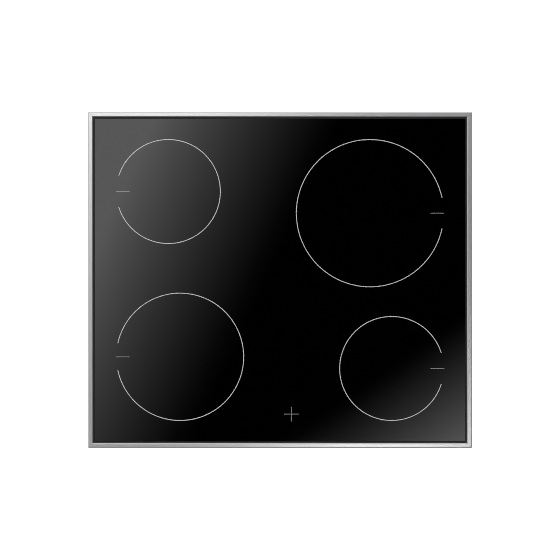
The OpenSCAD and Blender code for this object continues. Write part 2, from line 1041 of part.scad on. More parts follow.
// Arm along the casing's side, its tip towards the middle, with two teeth that bite the worktop
module clamp_arm(q) {
    half = clamp_arm_w / 2;
    tooth_w = 3.4;
    tooth = [[0, 0], [0, 5], [-2, clamp_arm_t], [-2, 0]];
    color("#b4b7ba")
        at_clamp(q)
            rotate([0, 0, -90 * q[1]])
                difference() {
                    union() {
                        translate([0, 0, clamp_arm_z]) {
                            cylinder(h = clamp_arm_t, r = half);
                            translate([0, -half, 0])
                                cube([clamp_arm_l, clamp_arm_w, clamp_arm_t]);
                        }
                        for (y = [tooth_w - half, half])
                            translate([clamp_arm_l, y, clamp_arm_z])
                                rotate([90, 0, 0])
                                    linear_extrude(tooth_w)
                                        polygon(tooth);
                    }
                    translate([0, 0, clamp_arm_z - over])
                        cylinder(h = clamp_arm_t + 2 * over, r = clamp_screw_r + 0.1);
                }
}

// Fans

module fan_frame(side) {
    duct_wall = 1.2;
    hub_t = 2.5;
    strut_w = 4;
    bearing_h = 18;
    bearing_outer_r = 4;
    stator_z = 6;
    stator_h = 10;
    stator_r = 12;
    color("#1d1d1f")
        translate([side * fan_pos[0], fan_pos[1], floor_top_z])
            difference() {
                union() {
                    difference() {
                        union() {
                            for (z = [0, fan_h - fan_flange_t])
                                translate([0, 0, z])
                                    linear_extrude(fan_flange_t)
                                        rounded_rect(fan_size, fan_size, 4);
                            cylinder(h = fan_h, r = duct_r + duct_wall);
                        }
                        translate([0, 0, -over])
                            cylinder(h = fan_h + 2 * over, r = duct_r);
                        at_corners(fan_screw_spacing, fan_screw_spacing)
                            translate([0, 0, -over])
                                cylinder(h = fan_h + 2 * over, r = fan_screw_r + 0.3);
                    }
                    cylinder(h = hub_t, r = hub_r);
                    for (a = [45, 135])
                        rotate([0, 0, a])
                            translate([0, 0, hub_t / 2])
                                cube([2 * duct_r + duct_wall, strut_w, hub_t], center = true);
                    cylinder(h = bearing_h, r = bearing_outer_r);
                    translate([0, 0, stator_z])
                        cylinder(h = stator_h, r = stator_r);
                }
                translate([0, 0, -over])
                    cylinder(h = fan_h, r = bearing_r);
            }
}

module fan_rotor(side) {
    cup_z = 4.5;
    cup_top = 23;
    cup_wall = 1.6;
    shaft_z = 1;
    color("#262628")
        translate([side * fan_pos[0], fan_pos[1], floor_top_z]) {
            difference() {
                translate([0, 0, cup_z])
                    cylinder(h = cup_top - cup_z, r = hub_r);
                translate([0, 0, cup_z - over])
                    cylinder(h = cup_top - cup_z - cup_wall + over, r = hub_r - cup_wall);
            }
            translate([0, 0, shaft_z])
                cylinder(h = cup_top - shaft_z - cup_wall / 2, r = shaft_r);
            intersection() {
                for (i = [0 : blade_count - 1])
                    rotate([0, 0, i * 360 / blade_count])
                        translate([duct_r / 2 + hub_r / 2, 0, (cup_z + cup_top) / 2])
                            rotate([blade_tilt, 0, 0])
                                cube([duct_r, blade_chord, blade_t], center = true);
                difference() {
                    cylinder(h = fan_h, r = duct_r - tip_gap);
                    translate([0, 0, -over])
                        cylinder(h = fan_h + 2 * over, r = hub_r - cup_wall / 2);
                }
            }
        }
}

// Coils

// Sensors that touch the glass through the middle of each coil
module temperature_sensors() {
    tail = 4;
    flange_r = 6;
    flange_t = 1.4;
    cap_r = 6.5;
    cap_t = 3;
    cap_z = glass_z - 0.2 - cap_t;
    color("#d8d4c8")
        for (q = QUADRANTS)
            at_zone(q) {
                translate([0, 0, plate_z - tail])
                    cylinder(h = cap_z - plate_z + tail, r = sensor_r);
                translate([0, 0, plate_top_z])
                    cylinder(h = flange_t, r = flange_r);
                translate([0, 0, cap_z])
                    cylinder(h = cap_t, r = cap_r);
            }
}

module insulating_mats() {
    color("#cfc6b0")
        for (q = QUADRANTS)
            at_zone(q)
                difference() {
                    translate([0, 0, glass_z - mat_t])
                        cylinder(h = mat_t, r = coil_r(q) + 2);
                    translate([0, 0, glass_z - 2 * mat_t])
                        cylinder(h = 3 * mat_t, r = coil_hole_r - 2);
                }
}

module at_ferrites(q) {
    for (i = [0 : ferrite_count(q) - 1])
        rotate([0, 0, i * 360 / ferrite_count(q)])
            children();
}

module at_springs(q) {
    for (i = [0 : spring_count - 1])
        rotate([0, 0, spring_angle(q, i)])
            translate([coil_r(q) - spring_inset, 0, 0])
                children();
}

// Disc with channels below for the ferrite bars, and a peg for each spring
module coil_carrier(q) {
    bar_gap = 0.2;
    peg_r = 2.8;
    color("#e4e1d8")
        at_zone(q) {
            difference() {
                translate([0, 0, carrier_z])
                    cylinder(h = carrier_t, r = coil_r(q) + carrier_rim);
                translate([0, 0, carrier_z - over])
                    cylinder(h = carrier_t + 2 * over, r = coil_hole_r);
                at_ferrites(q)
                    translate([coil_inner_r - bar_gap, -ferrite_w / 2 - bar_gap, carrier_z - over])
                        cube([ferrite_l(q) + 2 * bar_gap, ferrite_w + 2 * bar_gap, ferrite_t + over]);
            }
            at_springs(q)
                translate([0, 0, carrier_z - coil_travel])
                    cylinder(h = coil_travel + carrier_t / 2, r = peg_r);
        }
}

module ferrites(q) {
    recess = 0.2;
    color("#3c3c40")
        at_zone(q)
            at_ferrites(q)
                translate([coil_inner_r, -ferrite_w / 2, carrier_z + recess])
                    cube([ferrite_l(q), ferrite_w, ferrite_t - recess]);
}

// A flat spiral of half turns: each is half the pitch wider than the one before, and
// every second one is centred half the pitch to the right
module winding(q) {
    half_turns = 2 * floor((coil_r(q) - coil_inner_r - winding_w) / winding_pitch);
    color("#a8552c")
        at_zone(q)
            translate([0, 0, winding_z])
                for (k = [0 : half_turns - 1])
                    translate([(k % 2) * winding_pitch / 2, 0, 0])
                        rotate([0, 0, (k % 2) * 180])
                            rotate_extrude(angle = 180)
                                translate([coil_inner_r + k * winding_pitch / 2, 0])
                                    square([winding_w, winding_h]);
}

// A helix of half turns, tilted one way and the other in turn
module compression_spring(length) {
    rise = (length - 2 * spring_wire_r) / (2 * spring_turns);
    tilt = atan(rise / (2 * spring_r));
    for (k = [0 : 2 * spring_turns - 1])
        translate([0, 0, spring_wire_r + (k + 0.5) * rise])
            rotate([0, k % 2 == 0 ? tilt : -tilt, 0])
                rotate([0, 0, (k % 2) * 180])
                    rotate_extrude(angle = 180)
                        translate([spring_r / cos(tilt), 0])
                            circle(spring_wire_r);
}

module springs(q) {
    color("#8d9196")
        at_zone(q)
            at_springs(q)
                translate([0, 0, plate_top_z + spring_gap])
                    compression_spring(carrier_z - plate_top_z - 2 * spring_gap);
}

glass_top();
zone_rings();
zone_marks();
glass_seal();
trim_front();
trim_rear();
trim_left();
trim_right();
worktop_gasket();
base_pan();
side_screws();
coil_plate();
plate_posts();
inner_screws();
terminal_box();
terminal_block();
terminal_screws();
terminal_lid();
cable_gland();
clamp_ears();
clamp_screw(REAR_LEFT);  // clamp_screw_rear_left
clamp_screw(REAR_RIGHT);  // clamp_screw_rear_right
clamp_screw(FRONT_LEFT);  // clamp_screw_front_left
clamp_screw(FRONT_RIGHT);  // clamp_screw_front_right
clamp_arm(REAR_LEFT);  // clamp_arm_rear_left
clamp_arm(REAR_RIGHT);  // clamp_arm_rear_right
clamp_arm(FRONT_LEFT);  // clamp_arm_front_left
clamp_arm(FRONT_RIGHT);  // clamp_arm_front_right
fan_frame(-1);  // fan_frame_left
fan_frame(1);  // fan_frame_right
fan_rotor(-1);  // fan_rotor_left
fan_rotor(1);  // fan_rotor_right
power_board(-1);  // power_board_left
power_board(1);  // power_board_right
heat_sinks();
transistors();
capacitors();
filter_board();
filter_choke();
indicator_board();
light_box();
control_socket();
temperature_sensors();
insulating_mats();
coil_carrier(REAR_LEFT);  // coil_carrier_rear_left
coil_carrier(REAR_RIGHT);  // coil_carrier_rear_right
coil_carrier(FRONT_LEFT);  // coil_carrier_front_left
coil_carrier(FRONT_RIGHT);  // coil_carrier_front_right
winding(REAR_LEFT);  // winding_rear_left
winding(REAR_RIGHT);  // winding_rear_right
winding(FRONT_LEFT);  // winding_front_left
winding(FRONT_RIGHT);  // winding_front_right
ferrites(REAR_LEFT);  // ferrites_rear_left
ferrites(REAR_RIGHT);  // ferrites_rear_right
ferrites(FRONT_LEFT);  // ferrites_front_left
ferrites(FRONT_RIGHT);  // ferrites_front_right
springs(REAR_LEFT);  // springs_rear_left
springs(REAR_RIGHT);  // springs_rear_right
springs(FRONT_LEFT);  // springs_front_left
springs(FRONT_RIGHT);  // springs_front_right
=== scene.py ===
"""The looks of a framed induction cooktop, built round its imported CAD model.

Metres throughout, in the model's frame: +X right, +Y to the rear, +Z up, feet on z = 0.
The CAD parts keep their shapes and get procedural finishes. Soft, wound and moulded parts are
replaced by finer meshes in the same places. The stage and the camera come last.
"""

import math

import bmesh
import bpy
from mathutils import Matrix, Vector, noise

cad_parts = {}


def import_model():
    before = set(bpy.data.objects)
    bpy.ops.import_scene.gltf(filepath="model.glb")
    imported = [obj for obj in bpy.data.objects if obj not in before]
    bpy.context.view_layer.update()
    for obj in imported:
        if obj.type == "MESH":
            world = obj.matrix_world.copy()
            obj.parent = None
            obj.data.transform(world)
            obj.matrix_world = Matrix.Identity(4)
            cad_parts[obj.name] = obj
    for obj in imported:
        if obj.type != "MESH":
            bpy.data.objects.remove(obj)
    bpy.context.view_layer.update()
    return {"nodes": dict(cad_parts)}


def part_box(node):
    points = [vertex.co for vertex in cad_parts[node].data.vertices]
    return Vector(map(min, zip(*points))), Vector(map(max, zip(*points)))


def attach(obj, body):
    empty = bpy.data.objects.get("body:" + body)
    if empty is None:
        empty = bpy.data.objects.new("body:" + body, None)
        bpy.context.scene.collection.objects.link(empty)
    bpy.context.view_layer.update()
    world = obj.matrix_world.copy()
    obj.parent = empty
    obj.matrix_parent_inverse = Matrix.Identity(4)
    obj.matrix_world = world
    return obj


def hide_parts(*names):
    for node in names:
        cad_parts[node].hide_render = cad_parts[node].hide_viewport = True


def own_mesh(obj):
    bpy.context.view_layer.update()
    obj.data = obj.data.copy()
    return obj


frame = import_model()

MM = 0.001
QUADRANTS = ("rear_left", "rear_right", "front_left", "front_right")
SIDES = ("left", "right")
AXIS_GAP = 0.01 * MM  # how far from its axis a turned profile starts and ends
LENGTHWISE = "lengthwise"  # the map that runs along a wire and round it


# ---------------------------------------------------------------- shader kit

class Nodes:
    """Short calls that fill a node tree."""

    def __init__(self, tree):
        self.tree = tree

    def add(self, kind, inputs=(), **settings):
        """Adds a node. Each input is a value, or a socket to link from."""
        made = self.tree.nodes.new(kind)
        for name, value in settings.items():
            setattr(made, name, value)
        for socket, value in dict(inputs).items():
            if isinstance(value, bpy.types.NodeSocket):
                self.tree.links.new(value, made.inputs[socket])
            else:
                made.inputs[socket].default_value = value
        return made

    def maths(self, operation, a, b=0.0):
        return self.add("ShaderNodeMath", {0: a, 1: b}, operation=operation).outputs[0]


class Finish(Nodes):
    """A Principled material, with short calls that add procedural detail in object space."""

    def __init__(self, name, colour, roughness, metallic=0.0, constants=None):
        self.material = bpy.data.materials.new(name)
        self.material.use_nodes = True
        super().__init__(self.material.node_tree)
        self.shader = self.tree.nodes["Principled BSDF"]
        self.colour = colour
        self.normal = None
        self.shader.inputs["Base Color"].default_value = (*colour, 1)
        self.shader.inputs["Roughness"].default_value = roughness
        self.shader.inputs["Metallic"].default_value = metallic
        for socket, value in (constants or {}).items():
            self.shader.inputs[socket].default_value = value
        self.coordinates = self.add("ShaderNodeTexCoord").outputs["Object"]

    def place(self, stretch):
        """Object coordinates, divided along each axis by stretch."""
        inputs = {"Vector": self.coordinates, "Scale": tuple(1 / s for s in stretch)}
        return self.add("ShaderNodeMapping", inputs).outputs[0]

    def noise(self, size, stretch=(1, 1, 1), detail=3.0, roughness=0.55):
        """Cloudy noise from 0 to 1, with lumps of about the given size."""
        inputs = {"Vector": self.place(stretch), "Scale": 1 / size, "Detail": detail,
                  "Roughness": roughness}
        return self.add("ShaderNodeTexNoise", inputs).outputs["Fac"]

    def cells(self, size, output="Distance", feature="F1", stretch=(1, 1, 1)):
        """Irregular cells of about the given size."""
        inputs = {"Vector": self.place(stretch), "Scale": 1 / size}
        return self.add("ShaderNodeTexVoronoi", inputs, feature=feature).outputs[output]

    def cell_levels(self, size, stretch=(1, 1, 1)):
        """One level from 0 to 1 for each cell."""
        colours = self.cells(size, "Color", stretch=stretch)
        return self.add("ShaderNodeSeparateColor", {0: colours}).outputs[0]

    def span(self, value, low, high, start=0.3, end=0.7):
        """Maps value from start..end to low..high."""
        inputs = {"Value": value, "From Min": start, "From Max": end,
                  "To Min": low, "To Max": high}
        return self.add("ShaderNodeMapRange", inputs).outputs["Result"]

    def shade(self, value, darkest, lightest, start=0.3, end=0.7):
        """Multiplies the base colour by a factor that follows value."""
        factor = self.span(value, darkest, lightest, start, end)
        base = self.shader.inputs["Base Color"]
        before = base.links[0].from_socket if base.links else self.colour
        scaled = self.add("ShaderNodeVectorMath", {0: before, 3: factor}, operation="SCALE")
        self.tree.links.new(scaled.outputs[0], base)
        return self

    def blend(self, value, other, start=0.0, end=1.0):
        """Turns the base colour towards another colour where value is high."""
        factor = self.span(value, 0.0, 1.0, start, end)
        base = self.shader.inputs["Base Color"]
        before = base.links[0].from_socket if base.links else (*self.colour, 1)
        inputs = {"Factor": factor, 6: before, 7: (*other, 1)}
        mixed = self.add("ShaderNodeMix", inputs, data_type="RGBA")
        self.tree.links.new(mixed.outputs[2], base)
        return self

    def rough(self, value, low, high, start=0.3, end=0.7):
        """Sets the roughness from value."""
        level = self.span(value, low, high, start, end)
        self.tree.links.new(level, self.shader.inputs["Roughness"])
        return self

    def bump(self, height, depth):
        """Raises the surface by up to depth where height is 1."""
        inputs = {"Height": height, "Distance": depth, "Strength": 1.0}
        if self.normal is not None:
            inputs["Normal"] = self.normal
        self.normal = self.add("ShaderNodeBump", inputs).outputs["Normal"]
        self.tree.links.new(self.normal, self.shader.inputs["Normal"])
        return self


# ---------------------------------------------------------------- finishes

def glass_ceramic():
    """Polished black glass, with smears too faint to see straight on."""
    f = Finish("glass_ceramic", (0.0003, 0.0003, 0.00033), 0.025, constants={"IOR": 1.53})
    f.rough(f.noise(70 * MM, detail=5), 0.018, 0.034)
    return f.shade(f.noise(9 * MM), 0.7, 1.3)


def enamel(name, level):
    """Ceramic print fired into the glass: slightly porous, and matt beside it."""
    f = Finish(name, (level, level, level * 1.01), 0.5)
    grain = f.noise(0.25 * MM, detail=4)
    f.shade(grain, 0.9, 1.06)
    f.rough(grain, 0.42, 0.6)
    return f.bump(grain, 0.01 * MM)


def silicone():
    """Dark grey sealant with a soft, slightly wavy skin."""
    f = Finish("silicone", (0.02, 0.02, 0.022), 0.55, constants={"Specular IOR Level": 0.25})
    f.shade(f.noise(14 * MM), 0.8, 1.25)
    f.rough(f.noise(3 * MM), 0.48, 0.64)
    return f.bump(f.noise(5 * MM, detail=2), 0.06 * MM)


def brushed(name, colour, along, roughness, grain=0.18):
    """Metal brushed along one axis: streaks of uneven length, brightness and polish."""
    f = Finish(name, colour, roughness, 1.0)
    long_way = tuple(260 if axis == along else 1 for axis in "xyz")
    short_way = tuple(90 if axis == along else 1 for axis in "xyz")
    fine = f.noise(grain * MM, long_way, detail=2)
    broad = f.noise(grain * 4 * MM, short_way, detail=3)
    f.shade(fine, 0.95, 1.04)
    f.shade(broad, 0.975, 1.02)
    both = f.maths("ADD", f.maths("MULTIPLY", fine, 0.5), f.maths("MULTIPLY", broad, 0.5))
    f.rough(both, roughness * 0.92, roughness * 1.08)
    return f.bump(fine, 0.0035 * MM)


def rolled(name, colour, roughness):
    """Plated or rolled metal: faint clouds and a fine pitted grain."""
    f = Finish(name, colour, roughness, 1.0)
    clouds = f.noise(13.2 * MM, detail=4)
    grain = f.noise(0.264 * MM, detail=3)
    f.shade(clouds, 0.88, 1.08)
    f.rough(clouds, roughness * 0.8, roughness * 1.2)
    return f.bump(grain, 0.008 * MM)


def galvanised():
    """Zinc-coated sheet: flat crystals, each with its own brightness and polish."""
    f = Finish("zinc_sheet", (0.4, 0.415, 0.43), 0.4, 1.0)
    crystal = 9 * MM
    level = f.cell_levels(crystal)
    feather = f.noise(1.6 * MM, (1, 5, 1), detail=5)
    mixed = f.maths("ADD", f.maths("MULTIPLY", level, 0.6), f.maths("MULTIPLY", feather, 0.4))
    f.shade(mixed, 0.8, 1.1, 0.1, 0.9)
    f.shade(f.noise(60 * MM), 0.94, 1.04)
    f.rough(mixed, 0.3, 0.5, 0.1, 0.9)
    f.bump(f.cells(crystal, feature="SMOOTH_F1"), 0.01 * MM)
    return f.bump(f.noise(0.5 * MM), 0.006 * MM)


def moulded(name, colour, roughness, grain=0.35, depth=0.012):
    """Injection-moulded plastic: fine spark-eroded grain and faint flow clouds."""
    f = Finish(name, colour, roughness)
    texture = f.noise(grain * MM, detail=3)
    f.shade(f.noise(22 * MM, detail=4), 0.9, 1.1)
    f.shade(texture, 0.95, 1.05)
    f.rough(texture, roughness * 0.85, roughness * 1.15)
    return f.bump(texture, depth * MM)


def foam():
    """Closed-cell foam: pores in a lumpy surface, with painted shade in the pores and painted
    light on the lumps.
    """
    f = Finish("foam", (0.018, 0.018, 0.02), 0.95)
    pores = f.cells(0.55 * MM)
    # painted light and shade: lighter on the raised lumps, darker in the sunken pores, following
    # the bump
    f.shade(pores, 1.5, 0.5, 0.1, 0.6)
    return f.bump(pores, -0.18 * MM).bump(f.noise(3 * MM), 0.15 * MM)


def circuit_board():
    """Green solder mask over copper runs that follow two directions, with pads."""
    f = Finish("board", (0.022, 0.1, 0.042), 0.35)

    def runs(direction, scale, distortion, detail_scale):
        inputs = {"Vector": f.place((1, 1, 1)), "Scale": scale, "Distortion": distortion,
                  "Detail": 0.0, "Detail Scale": detail_scale}
        return f.add("ShaderNodeTexWave", inputs, bands_direction=direction).outputs["Fac"]

    runs_x = runs("X", 110, 1.2, 0.4)
    runs_y = runs("Y", 90, 1.6, 0.3)
    regions = f.span(f.noise(16 * MM, detail=0), 0, 1, 0.49, 0.51)
    chosen = f.add("ShaderNodeMix", {"Factor": regions, 2: runs_x, 3: runs_y}).outputs[0]
    copper = f.span(chosen, 0, 1, 0.55, 0.65)
    f.blend(copper, (0.04, 0.17, 0.075))
    pads = f.span(f.cells(7 * MM), 1, 0, 0.1, 0.12)
    f.blend(pads, (0.6, 0.6, 0.58))
    f.rough(f.noise(2 * MM), 0.28, 0.42)
    return f.bump(copper, 0.03 * MM)


def stranded_copper():
    """A twisted bundle of enamelled strands, drawn on the winding's own lengthwise map, with
    painted shade in the grooves between them.
    """
    twist = 18 * MM
    strands = 7
    f = Finish("copper", (0.72, 0.3, 0.13), 0.38, 1.0)
    lengthwise = f.add("ShaderNodeUVMap", uv_map=LENGTHWISE).outputs[0]
    parts = f.add("ShaderNodeSeparateXYZ", {0: lengthwise})
    turn = f.maths("ADD", f.maths("MULTIPLY", parts.outputs[0], 1 / twist), parts.outputs[1])
    ridge = f.maths("ABSOLUTE", f.maths("SINE", f.maths("MULTIPLY", turn, strands * math.pi)))
    # painted shade: darker in the grooves between strands, following the bump
    f.shade(ridge, 0.45, 1.1, 0.0, 0.8)
    f.shade(f.noise(12 * MM), 0.85, 1.1)
    f.rough(ridge, 0.55, 0.3, 0.0, 1.0)
    return f.bump(ridge, 0.22 * MM)


def mica():
    """Pressed flakes, each with its own brightness."""
    f = Finish("mica", (0.55, 0.47, 0.33), 0.55)
    level = f.cell_levels(2.4 * MM, stretch=(1.6, 1, 0.2))
    f.shade(level, 0.7, 1.15, 0, 1)
    f.rough(level, 0.35, 0.65, 0, 1)
    return f.bump(level, 0.02 * MM)


def ferrite():
    """Sintered, dull and grainy."""
    f = Finish("ferrite", (0.032, 0.032, 0.036), 0.6)
    f.shade(f.noise(1.2 * MM, detail=5), 0.7, 1.5)
    return f.bump(f.noise(0.3 * MM, detail=4), 0.04 * MM)


def lacquered_film():
    """The wrap of a film capacitor, with faint crosswise creases."""
    f = Finish("capacitor_film", (0.03, 0.06, 0.26), 0.32)
    f.shade(f.noise(4 * MM, (6, 1, 1)), 0.85, 1.1)
    f.rough(f.noise(6 * MM), 0.25, 0.42)
    return f.bump(f.noise(1.1 * MM, (8, 1, 1)), 0.03 * MM)


STEEL = (0.66, 0.66, 0.663)
BLACK = (0.012, 0.012, 0.013)
CREAM = (0.62, 0.59, 0.5)

TRIM_ROUGHNESS = 0.33

trim_across = brushed("trim_steel_across", STEEL, "x", TRIM_ROUGHNESS)
trim_along = brushed("trim_steel_along", STEEL, "y", TRIM_ROUGHNESS)

finishes = {
    "glass_ceramic": glass_ceramic(),
    "ring_print": enamel("ring_print", 0.95),
    "mark_print": enamel("mark_print", 0.62),
    "silicone": silicone(),
    "trim_steel": trim_across,
    "foam": foam(),
    "zinc_sheet": galvanised(),
    "screw_steel": rolled("screw_steel", (0.62, 0.62, 0.62), 0.3),
    "aluminium_sheet": brushed("aluminium_sheet", (0.72, 0.73, 0.74), "x", 0.42, grain=0.4),
    "post_steel": rolled("post_steel", (0.5, 0.51, 0.53), 0.38),
    "screw_zinc": rolled("screw_zinc", (0.72, 0.6, 0.34), 0.34),
    "black_plastic": moulded("black_plastic", BLACK, 0.5),
    "lid_plastic": moulded("lid_plastic", (0.016, 0.016, 0.017), 0.55),
    "gland_plastic": moulded("gland_plastic", (0.011, 0.011, 0.012), 0.42),
    "terminal_plastic": moulded("terminal_plastic", CREAM, 0.5),
    "brass": rolled("brass", (0.72, 0.5, 0.2), 0.3),
    "bracket_steel": rolled("bracket_steel", (0.46, 0.47, 0.49), 0.42),
    "clamp_zinc": rolled("clamp_zinc", (0.68, 0.69, 0.7), 0.32),
    "clamp_steel": rolled("clamp_steel", (0.56, 0.57, 0.59), 0.4),
    "board": circuit_board(),
    "sink_aluminium": brushed("sink_aluminium", (0.6, 0.61, 0.63), "y", 0.45, grain=0.3),
    "package_black": moulded("package_black", (0.014, 0.014, 0.015), 0.6, grain=0.2),
    "capacitor_film": lacquered_film(),
    "enamelled_wire": rolled("enamelled_wire", (0.62, 0.22, 0.08), 0.3),
    "copper": stranded_copper(),
    "light_box_white": moulded("light_box_white", (0.8, 0.8, 0.77), 0.5),
    "socket_plastic": moulded("socket_plastic", CREAM, 0.45),
    "sensor_ceramic": moulded("sensor_ceramic", (0.7, 0.67, 0.6), 0.7, grain=0.15, depth=0.02),
    "mica": mica(),
    "fan_plastic": moulded("fan_plastic", BLACK, 0.45),
    "rotor_plastic": moulded("rotor_plastic", (0.02, 0.02, 0.021), 0.35),
    "carrier_plastic": moulded("carrier_plastic", (0.68, 0.65, 0.56), 0.6),
    "ferrite": ferrite(),
    "spring_steel": rolled("spring_steel", (0.4, 0.41, 0.43), 0.28),
}

for name, node in frame["nodes"].items():
    brushed_along = name in ("trim_left", "trim_right")
    for entry in node.material_slots:
        finish = trim_along if brushed_along else finishes[entry.material.name]
        entry.material = finish.material


# ---------------------------------------------------------------- mesh kit

class Shape:
    """Collects rings of points into one closed mesh."""

    def __init__(self):
        self.points = []
        self.faces = []
        self.maps = []

    def loft(self, rings, closed=False, maps=None):
        """Joins rings of equal length in turn, and the last to the first if closed.

        maps gives each ring's place along the lengthwise map."""
        first = len(self.points)
        size = len(rings[0])
        for ring in rings:
            self.points.extend(Vector(p) for p in ring)
        count = len(rings)
        for i in range(count if closed else count - 1):
            for j in range(size):
                a = first + i * size
                b = first + (i + 1) % count * size
                k = (j + 1) % size
                self.faces.append((a + j, a + k, b + k, b + j))
                if maps:
                    here, there = maps[i:i + 2]
                    low = j / size
                    high = (j + 1) / size
                    self.maps.append(((here, low), (here, high), (there, high), (there, low)))
        if not closed:
            self.faces.append(tuple(range(first + size - 1, first - 1, -1)))
            last = first + (count - 1) * size
            self.faces.append(tuple(range(last, last + size)))
            if maps:
                for at in (maps[0], maps[-1]):
                    self.maps.append(tuple((at, j / size) for j in range(size)))
        return self

    def lathe(self, profile, place, steps=48, closed=False):
        """Turns (radius, height) points about the local Z of a placing matrix."""
        rings = [
            [place @ Vector((r * math.cos(a), r * math.sin(a), z))
             for a in (2 * math.pi * i / steps for i in range(steps))]
            for r, z in profile
        ]
        return self.loft(rings, closed=closed)

    def tube(self, path, radius, sides, mapped=False):
        """A round tube along a path, with flat ends."""
        tangents = []
        for i in range(len(path)):
            ahead = path[min(i + 1, len(path) - 1)]
            behind = path[max(i - 1, 0)]
            tangents.append((ahead - behind).normalized())
        up = tangents[0].orthogonal().normalized()
        rings = []
        lengths = [0.0]
        for i, (point, along) in enumerate(zip(path, tangents)):
            up = (up - along * up.dot(along)).normalized()
            side = along.cross(up)
            turns = (2 * math.pi * k / sides for k in range(sides))
            rings.append([point + (up * math.cos(a) + side * math.sin(a)) * radius for a in turns])
            if i:
                lengths.append(lengths[-1] + (point - path[i - 1]).length)
        return self.loft(rings, maps=lengths if mapped else None)

    def block(self, low, high, edge):
        """A box with rounded upright corners and chamfered ends, between two corners."""
        middle = (Vector(low) + Vector(high)) / 2
        half = (Vector(high) - Vector(low)) / 2
        rings = []
        for z, inset in ((-half.z, edge), (edge - half.z, 0), (half.z - edge, 0), (half.z, edge)):
            outline = rounded_outline(2 * (half.x - inset), 2 * (half.y - inset), edge, 3)
            rings.append([middle + Vector((x, y, z)) for x, y in outline])
        return self.loft(rings)

    def piece(self, name, finish, body, slot, replaces=(), sharp=35):
        """Makes the object, and puts it on a body of the model.

        Edges sharper than so many degrees stay sharp in shading."""
        mesh = bpy.data.meshes.new(name)
        mesh.from_pydata([tuple(p) for p in self.points], [], self.faces)
        if self.maps:
            layer = mesh.uv_layers.new(name=LENGTHWISE)
            corners = [corner for face in self.maps for corner in face]
            for loop, corner in zip(layer.data, corners):
                loop.uv = corner
        mesh.shade_smooth()
        mesh.set_sharp_from_angle(angle=math.radians(sharp))
        mesh.materials.append(finishes[finish].material)
        made = bpy.data.objects.new(name, mesh)
        bpy.context.scene.collection.objects.link(made)
        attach(made, body)
        if replaces:
            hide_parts(*replaces)
        return made


def rounded_outline(width, depth, radius, steps):
    """(x, y) points of a rounded rectangle about the origin, anticlockwise."""
    points = []
    for corner, (sx, sy) in enumerate(((1, 1), (-1, 1), (-1, -1), (1, -1))):
        for i in range(steps + 1):
            a = (corner + i / steps) * math.pi / 2
            points.append((sx * (width / 2 - radius) + radius * math.cos(a),
                           sy * (depth / 2 - radius) + radius * math.sin(a)))
    return points


def polar(middle, radius, angle, z):
    """The point at a radius and an angle about the upright line through middle."""
    return Vector((middle.x + radius * math.cos(angle), middle.y + radius * math.sin(angle), z))


def centre(node):
    low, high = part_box(node)
    return (low + high) / 2


def size(node):
    low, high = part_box(node)
    return high - low


def mix(a, b, share):
    return a + (b - a) * share


def soften(node, width):
    """Rounds the folded or cut edges of a CAD part, in shading and in outline."""
    part = frame["nodes"][node]
    weld = part.modifiers.new("weld", "WELD")
    weld.merge_threshold = 0.002 * MM
    bevel = part.modifiers.new("bevel", "BEVEL")
    bevel.width = width
    bevel.segments = 2
    bevel.limit_method = "ANGLE"
    bevel.angle_limit = math.radians(30)
    bevel.harden_normals = True


# ---------------------------------------------------------------- pieces

def silicone_bead():
    """The joint, which sags between the trim and the glass, and its thin bed under the glass."""
    seal = size("glass_seal")
    glass = size("glass_top")
    pan = size("base_pan")
    low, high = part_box("glass_seal")
    glass_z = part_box("glass_top")[0].z
    sag = 0.3 * MM
    wall_drop = 0.2 * MM
    trim_corner = 0.2 * MM
    glass_corner = 2 * MM
    steps = 8
    profile = []
    for i in range(steps + 1):
        t = i / steps
        z = high.z - wall_drop * t - sag * math.sin(math.pi * t)
        corner = mix(trim_corner, glass_corner, t)
        profile.append((mix(seal.x, glass.x, t), mix(seal.y, glass.y, t), corner, z))
    profile += [
        (glass.x, glass.y, glass_corner, glass_z), (pan.x, pan.y, glass_corner, glass_z),
        (pan.x, pan.y, glass_corner, low.z), (seal.x, seal.y, trim_corner, low.z),
    ]
    rings = [[(x, y, z) for x, y in rounded_outline(w, d, r, 6)] for w, d, r, z in profile]
    shape = Shape().loft(rings, closed=True)
    shape.piece("silicone_bead", "silicone", "housing", "silicone", ["glass_seal"])


def foam_gasket():
    """Four foam strips with rounded, slightly uneven sides."""
    low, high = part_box("worktop_gasket")
    strip = 5.1 * MM
    gap = 0.2 * MM
    step = 5 * MM
    unevenness = 0.14 * MM
    lump = 4 * MM
    rounding = 1.1 * MM
    middle_z = (low.z + high.z) / 2
    section = rounded_outline(strip, high.z - low.z, rounding, 3)
    shape = Shape()
    for side in (-1, 1):
        for lengthwise, half_length, away in (
            ("y", high.y, high.x - strip / 2),
            ("x", high.x - strip - gap, high.y - strip / 2),
        ):
            count = round(2 * half_length / step)
            rings = []
            for i in range(count + 1):
                s = mix(-half_length, half_length, i / count)
                ring = []
                for across, up in section:
                    seed = Vector((s, across + side * away, up)) / lump
                    shrink = 1 - unevenness / strip * (1 + noise.noise(seed))
                    a = side * away + across * shrink
                    z = middle_z + up * shrink
                    ring.append((a, s, z) if lengthwise == "y" else (s, a, z))
                rings.append(ring)
            shape.loft(rings)
    made = shape.piece("foam_gasket", "foam", "housing", "foam", ["worktop_gasket"], sharp=60)


